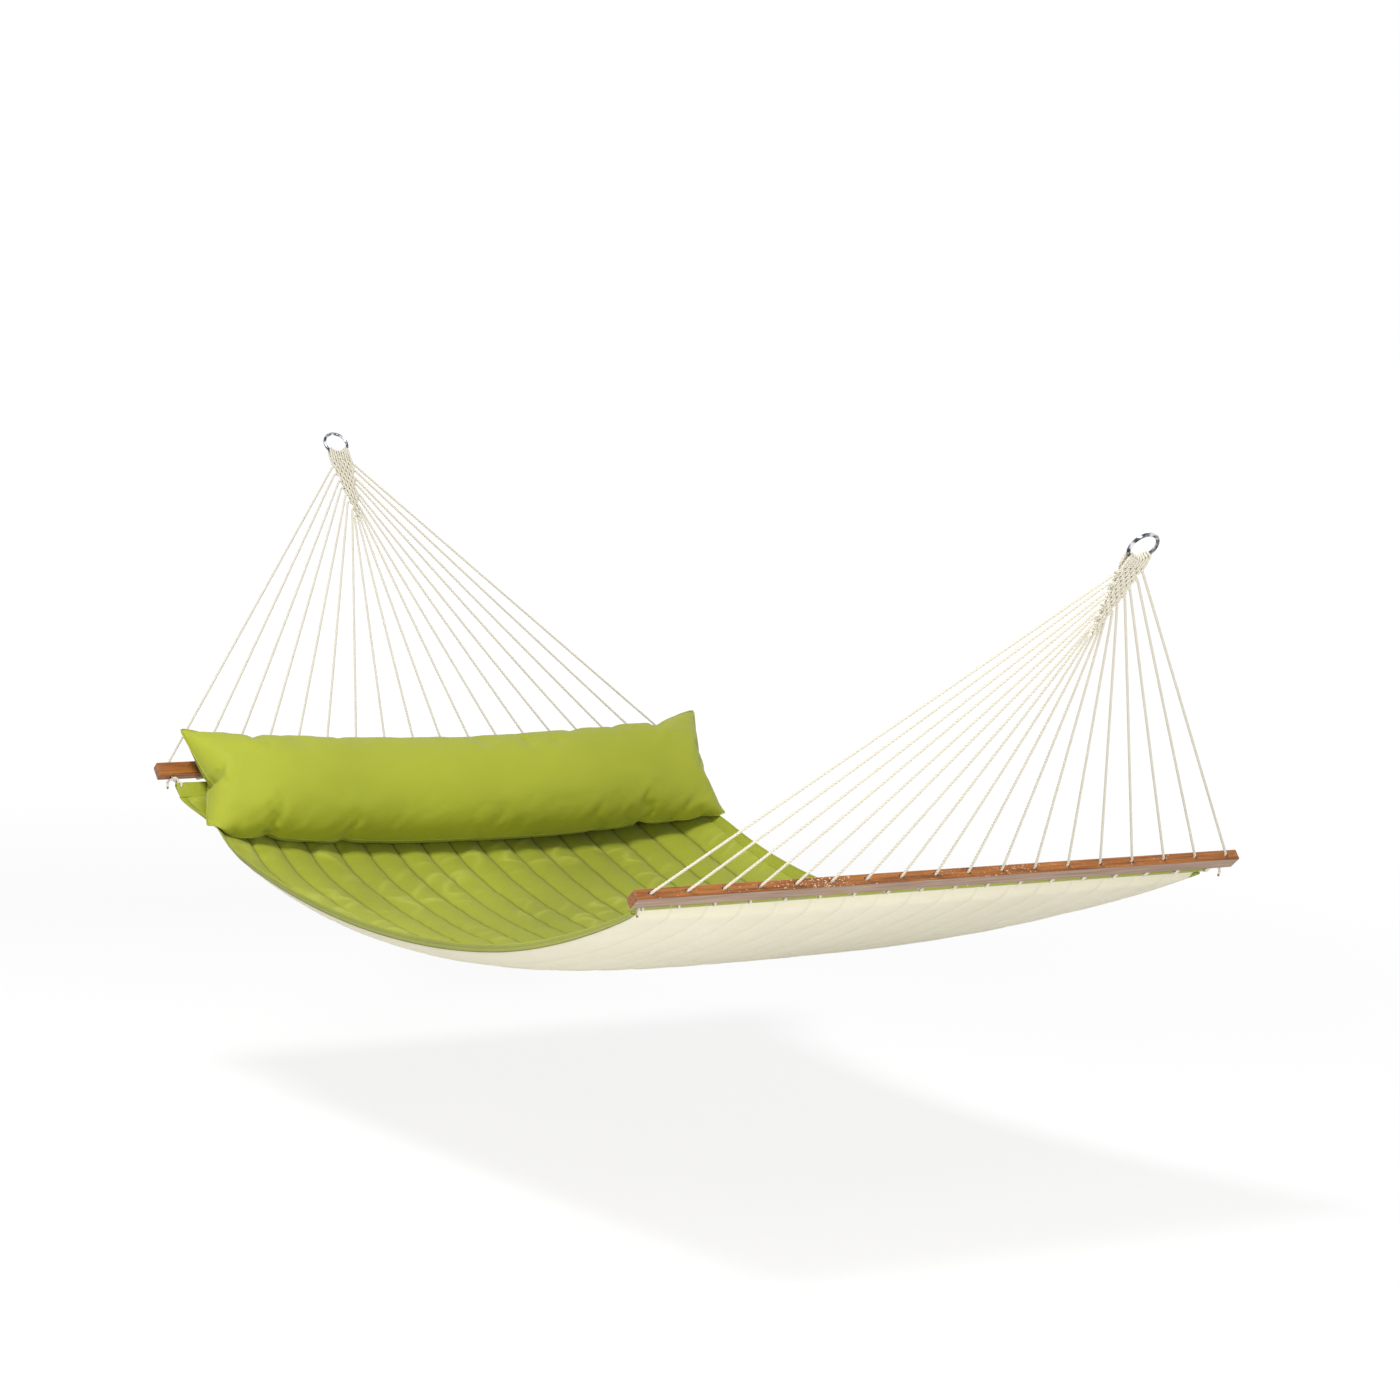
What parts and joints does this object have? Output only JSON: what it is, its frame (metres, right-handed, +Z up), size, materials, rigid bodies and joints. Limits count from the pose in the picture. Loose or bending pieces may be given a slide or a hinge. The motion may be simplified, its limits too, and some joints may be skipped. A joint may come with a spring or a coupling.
{
  "type": "spreader bar hammock",
  "caption": "Quilted hammock held open by two wooden spreader bars, hung from a ring at each end by doubled cords, with a long head pillow.",
  "frame": {"origin": "centre of the head ring, where the hook of the head end passes through", "axes": "+X along the hammock to the foot ring, +Y across it, to the left of a person lying on it, +Z up"},
  "size_m": [3.1425, 1.405, 1.0264],
  "materials": {
    "ring": "polished",
    "wood": "satin",
    "rope": "matte",
    "cover": "matte",
    "backing": "matte",
    "wadding": "matte"
  },
  "bodies": {
    "sling": {"head_bar": "wood", "foot_bar": "wood", "head_hem_sleeve": "cover", "foot_hem_sleeve": "cover", "head_hem_cord": "rope", "foot_hem_cord": "rope", "quilt_cover": "cover", "quilt_wadding": "wadding", "quilt_backing": "backing", "left_side_hem": "cover", "right_side_hem": "cover", "pillow_tie_left": "cover", "pillow_tie_right": "cover"},
    "head_clew": {"head_ring": "ring", "head_cord_1": "rope", "head_cord_2": "rope", "head_cord_3": "rope", "head_cord_4": "rope", "head_cord_5": "rope", "head_cord_6": "rope", "head_cord_7": "rope", "head_cord_8": "rope", "head_cord_9": "rope"},
    "foot_clew": {"foot_ring": "ring", "foot_cord_1": "rope", "foot_cord_2": "rope", "foot_cord_3": "rope", "foot_cord_4": "rope", "foot_cord_5": "rope", "foot_cord_6": "rope", "foot_cord_7": "rope", "foot_cord_8": "rope", "foot_cord_9": "rope"},
    "pillow": {"pillow_cover": "cover", "pillow_filling": "wadding"}
  },
  "joints": [
    {"name": "head_clew_fold", "type": "hinge", "parent": "sling", "child": "head_clew", "pos_m": [0.52177, 0, -0.68991], "axis": [0, 1, 0], "range_deg": [-50, 38], "deforming": ["head_cord_1", "head_cord_2", "head_cord_3", "head_cord_4", "head_cord_5", "head_cord_6", "head_cord_7", "head_cord_8", "head_cord_9"]},
    {"name": "foot_clew_fold", "type": "hinge", "parent": "sling", "child": "foot_clew", "pos_m": [2.57575, 0, -0.66144], "axis": [0, -1, 0], "range_deg": [-45, 60], "deforming": ["foot_cord_1", "foot_cord_2", "foot_cord_3", "foot_cord_4", "foot_cord_5", "foot_cord_6", "foot_cord_7", "foot_cord_8", "foot_cord_9"]},
    {"name": "pillow_lift", "type": "hinge", "parent": "sling", "child": "pillow", "pos_m": [0.566, 0.02, -0.606], "axis": [-0.0558, -0.9984, 0], "range_deg": [0, 80]}
  ]
}
